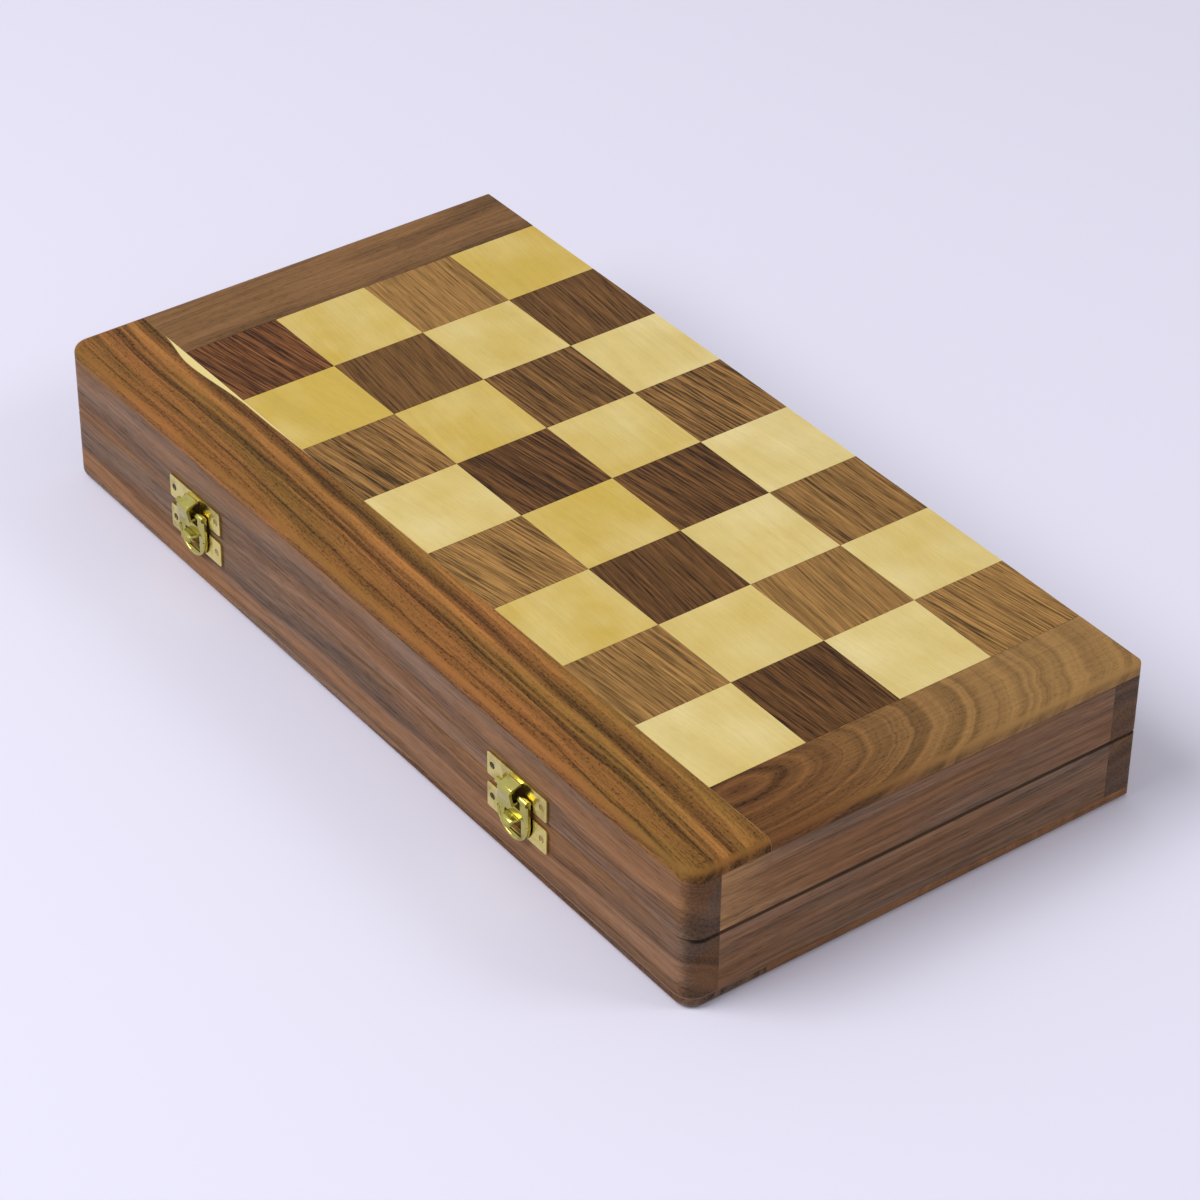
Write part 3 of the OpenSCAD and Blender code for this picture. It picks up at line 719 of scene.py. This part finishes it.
class CHESSBOX_OT_catches(bpy.types.Operator):
    """Form the two brass hasp catches and their nails"""
    bl_idname = "chess_box.catches"
    bl_label = "Form the Catches"

    def painted_brass_shade(self, tree, spot, colour):
        """Painted shade: the brass that stands out from the wall is darkened, from 1 mm out and fully from 2
        mm out, standing in for its darker reflections.
        """
        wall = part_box("lid_front_wall")[0].y
        near, far = wall - 0.001, wall - 0.002
        out = tree.spread(tree.parts(spot["Object"])[1], near, far, 0.0, 1.0)
        return tree.blend(out, colour, (0.66, 0.7, 0.55, 1.0), how="MULTIPLY")

    def painted_hole_shade(self, tree, spot, colour):
        """Painted shade: the left-hand nails of each catch are painted near black, like empty nail holes in
        shadow.
        """
        x = tree.parts(spot["Object"])[0]
        left, right = (sum((corner.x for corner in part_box(f"{side}_hasp")), 0.0) / 2 for side in SIDES)
        between = tree.math("MULTIPLY", tree.math("GREATER_THAN", x, 0.0), tree.math("LESS_THAN", x, right))
        dark = tree.math("ADD", tree.math("LESS_THAN", x, left), between)
        return tree.blend(tree.math("MULTIPLY", dark, 0.9), colour, (0.02, 0.015, 0.01, 1.0))

    def execute(self, context):
        brass = context.scene.chess_box_brass
        bright = brass_material("bright brass", brass.bright, brass.tarnish, 0.55, 0.18, self.painted_brass_shade)
        nails = brass_material("nail brass", brass.dull, brass.tarnish, 0.5, 0.32, self.painted_hole_shade)
        for side in SIDES:
            for part, body in (("hasp_plate", "lid"), ("hasp", f"{side}_hasp"), ("keeper_plate", "base")):
                piece = stamped(f"{side}_{part}_brass", f"{side}_{part}", brass.edge)
                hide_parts(f"{side}_{part}")
                dress(piece, bright, body)
        for half in HALVES:
            piece = stamped(f"{half}_catch_nails", f"{half}_catch_pins", NAIL_ROUNDING)
            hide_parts(f"{half}_catch_pins")
            dress(piece, nails, half)
        return {"FINISHED"}


class CHESSBOX_OT_hinges(bpy.types.Operator):
    """Form the two brass hinges and their screws"""
    bl_idname = "chess_box.hinges"
    bl_label = "Form the Hinges"

    def execute(self, context):
        brass = context.scene.chess_box_brass
        mellow = brass_material("mellow brass", brass.mellow, brass.tarnish, 0.4, 0.28)
        dull = brass_material("screw brass", brass.dull, brass.tarnish, 0.5, 0.34)
        for side in SIDES:
            for part, body in (("hinge_base_leaf", "base"), ("hinge_lid_leaf", "lid"), ("hinge_pin", "base")):
                piece = stamped(f"{side}_{part}_brass", f"{side}_{part}", HINGE_ROUNDING, 2)
                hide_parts(f"{side}_{part}")
                dress(piece, mellow, body)
        for half in HALVES:
            finish_node(f"{half}_hinge_screws", dull)
        return {"FINISHED"}


class CHESSBOX_OT_studio(bpy.types.Operator):
    """Set up the floor, the soft lamps and the camera"""
    bl_idname = "chess_box.studio"
    bl_label = "Set Up the Studio"

    def execute(self, context):
        self.floor(context)
        self.world(context)
        self.lamps(context)
        self.camera(context)
        context.scene.view_settings.view_transform = "Standard"
        return {"FINISHED"}

    def floor(self, context):
        bpy.ops.mesh.primitive_plane_add(size=9.0, location=(0, 0, -0.00005))
        floor = bpy.context.object
        floor.name = "studio_floor"
        settle(floor)
        colour = context.scene.chess_box_studio.floor
        made, tree, shader, spot = new_material("studio floor")
        shader.inputs["Base Color"].default_value = rgba(colour)
        shader.inputs["Roughness"].default_value = 0.8
        shader.inputs["Specular IOR Level"].default_value = 0.2
        away = tree.vector("LENGTH", spot["Object"])
        glow = tree.spread(away, 0.6, 3.0, 0.0, 0.5, smooth=True)    # keeps the far floor pale in low views
        tree.feed(shader.inputs["Emission Color"], tree.scaled(colour, glow))
        shader.inputs["Emission Strength"].default_value = 1.0
        floor.data.materials.append(made)

    def world(self, context):
        studio = context.scene.chess_box_studio
        world = bpy.data.worlds.new("studio world")
        world.use_nodes = True
        world.node_tree.nodes.clear()
        tree = Tree(world.node_tree)
        path = tree.node("LightPath").outputs
        seen = tree.math("MAXIMUM", path["Is Camera Ray"],
                         tree.math("MAXIMUM", path["Is Glossy Ray"], path["Is Transmission Ray"]))
        shown = tree.node("Background", {"Color": rgba(studio.backdrop), "Strength": 1.0}).outputs[0]
        white = (1.0, 1.0, 1.0, 1.0)
        light = tree.node("Background", {"Color": white, "Strength": studio.ambient}).outputs[0]
        mixed = tree.node("MixShader", {0: seen, 1: light, 2: shown}).outputs[0]
        tree.node("OutputWorld", {"Surface": mixed})
        context.scene.world = world

    def lamps(self, context):
        studio = context.scene.chess_box_studio
        for name, place, size, power in (("key lamp", (-0.42, -1.3, 1.6), 1.3, studio.key),
                                         ("back lamp", (0.95, 0.8, 1.05), 0.5, studio.back)):
            light = bpy.data.lights.new(name, "AREA")
            light.shape = "SQUARE"
            light.size = size
            light.energy = power
            lamp = bpy.data.objects.new(name, light)
            lamp.location = place
            lamp.rotation_euler = (-Vector(place)).to_track_quat("-Z", "Y").to_euler()
            context.scene.collection.objects.link(lamp)

    def camera(self, context):
        """The photograph's view, fitted to the board's corners and the box's edges."""
        right = Vector((0.5946, 0.8040, 0.0097)).normalized()
        ahead = Vector((-0.6465, 0.4852, -0.5888)).normalized()
        up = right.cross(ahead).normalized()
        data = bpy.data.cameras.new("photo camera")
        focal_pixels, frame_pixels = 3943.2, 1200
        data.sensor_width = 36.0
        data.lens = data.sensor_width * focal_pixels / frame_pixels
        data.clip_start, data.clip_end = 0.01, 50.0
        camera = bpy.data.objects.new("photo camera", data)
        axes = Matrix((right, up, -ahead)).transposed()
        camera.matrix_world = Matrix.Translation((0.74476, -0.54983, 0.68307)) @ axes.to_4x4()
        context.scene.collection.objects.link(camera)
        context.scene.camera = camera


STEPS = (CHESSBOX_OT_squares, CHESSBOX_OT_borders, CHESSBOX_OT_walls, CHESSBOX_OT_felt, CHESSBOX_OT_foam,
         CHESSBOX_OT_catches, CHESSBOX_OT_hinges, CHESSBOX_OT_studio)
SETTINGS = {"chess_box_wood": ChessBoxWood, "chess_box_brass": ChessBoxBrass,
            "chess_box_lining": ChessBoxLining, "chess_box_studio": ChessBoxStudio}


class CHESSBOX_PT_panel(bpy.types.Panel):
    """Lists the settings and the steps that dress the chess box"""
    bl_idname = "CHESSBOX_PT_panel"
    bl_label = "Chess Box"
    bl_space_type = "VIEW_3D"
    bl_region_type = "UI"
    bl_category = "Chess Box"

    def draw(self, context):
        for name, kind in SETTINGS.items():
            box = self.layout.box()
            for setting in kind.__annotations__:
                box.prop(getattr(context.scene, name), setting)
        for step in STEPS:
            self.layout.operator(step.bl_idname)


def register():
    for kind in (*SETTINGS.values(), *STEPS, CHESSBOX_PT_panel):
        bpy.utils.register_class(kind)
    for name, kind in SETTINGS.items():
        setattr(bpy.types.Scene, name, bpy.props.PointerProperty(type=kind))


def unregister():
    for name in SETTINGS:
        delattr(bpy.types.Scene, name)
    for kind in (CHESSBOX_PT_panel, *reversed(STEPS), *reversed(SETTINGS.values())):
        bpy.utils.unregister_class(kind)


def main():
    register()
    for step in STEPS:
        group, name = step.bl_idname.split(".")
        getattr(getattr(bpy.ops, group), name)()


if __name__ == "__main__":
    main()
